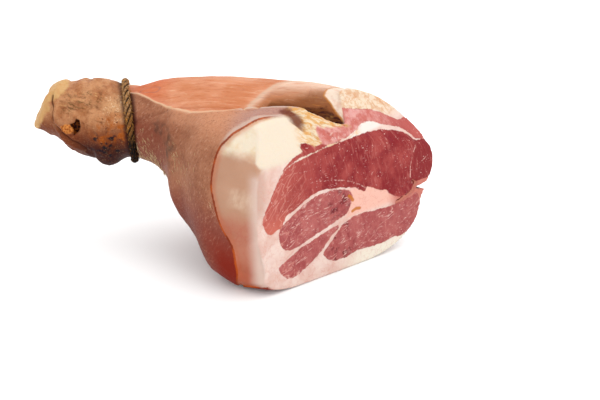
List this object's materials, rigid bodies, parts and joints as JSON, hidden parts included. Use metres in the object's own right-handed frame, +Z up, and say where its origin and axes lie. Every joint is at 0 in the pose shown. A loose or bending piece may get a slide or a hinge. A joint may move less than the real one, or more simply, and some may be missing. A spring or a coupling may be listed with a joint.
{
  "type": "cured ham",
  "caption": "Cured ham leg lying on its rind, cut across the thigh to show the lean, with string tied round the neck of the hock.",
  "frame": {"origin": "middle of the bounding box, on the surface that the ham lies on", "axes": "+X along the leg from the hock to the cut, +Y away from the side with the rind's pared edge, +Z up"},
  "size_m": [0.3744, 0.1918, 0.1674],
  "materials": {
    "rind": "dry tanned pork rind with a waxy sheen, cream fat where it is pared away",
    "lean": "moist dark red cured meat with pale marbling",
    "string": "rough stained hemp string"
  },
  "bodies": {
    "root": {"rind_and_fat": "rind", "lean": "lean", "string": "string"}
  },
  "joints": []
}
